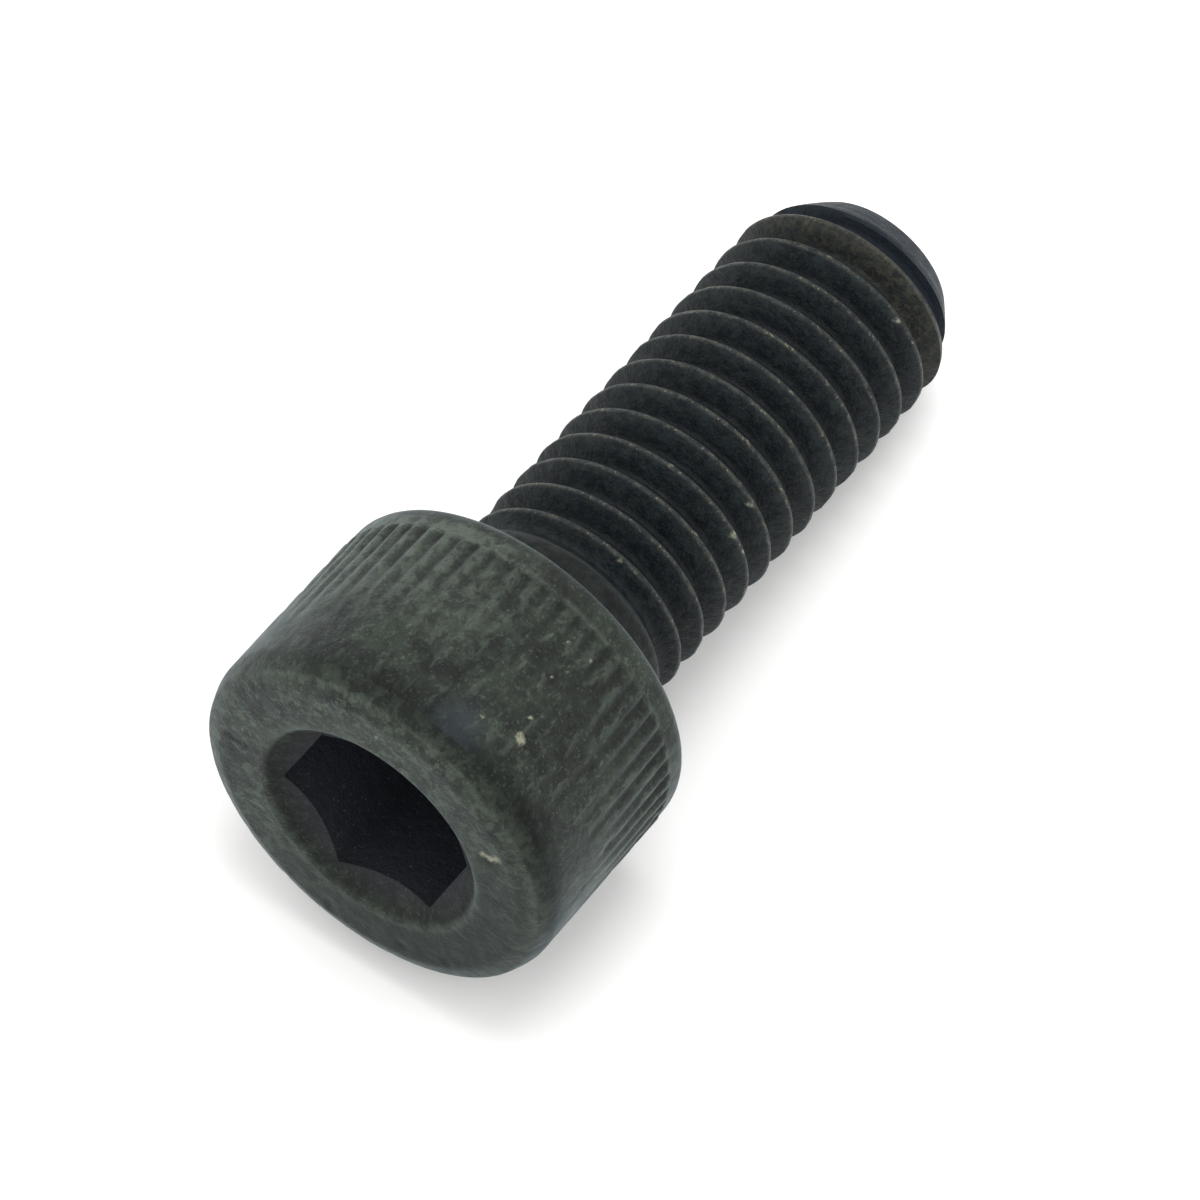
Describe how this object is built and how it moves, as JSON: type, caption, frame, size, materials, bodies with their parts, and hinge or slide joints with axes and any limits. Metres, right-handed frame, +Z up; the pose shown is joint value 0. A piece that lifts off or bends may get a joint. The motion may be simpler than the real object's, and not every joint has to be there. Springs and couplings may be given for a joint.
{
  "type": "socket head cap screw",
  "caption": "Black steel socket head cap screw with a knurled cylindrical head, hexagon socket, and a fully threaded shank with a rounded end.",
  "frame": {"origin": "on the ground, under the middle of the laid bolt", "axes": "+Z up, the bolt lies along Y with its head towards -Y and its threaded end towards +Y; its own axis slopes 8.0 degrees down towards the threaded end"},
  "size_m": [0.013, 0.029, 0.0138],
  "materials": {
    "steel": "black oxide, matt and lightly worn"
  },
  "bodies": {
    "root": {"bolt": "steel"}
  },
  "joints": []
}
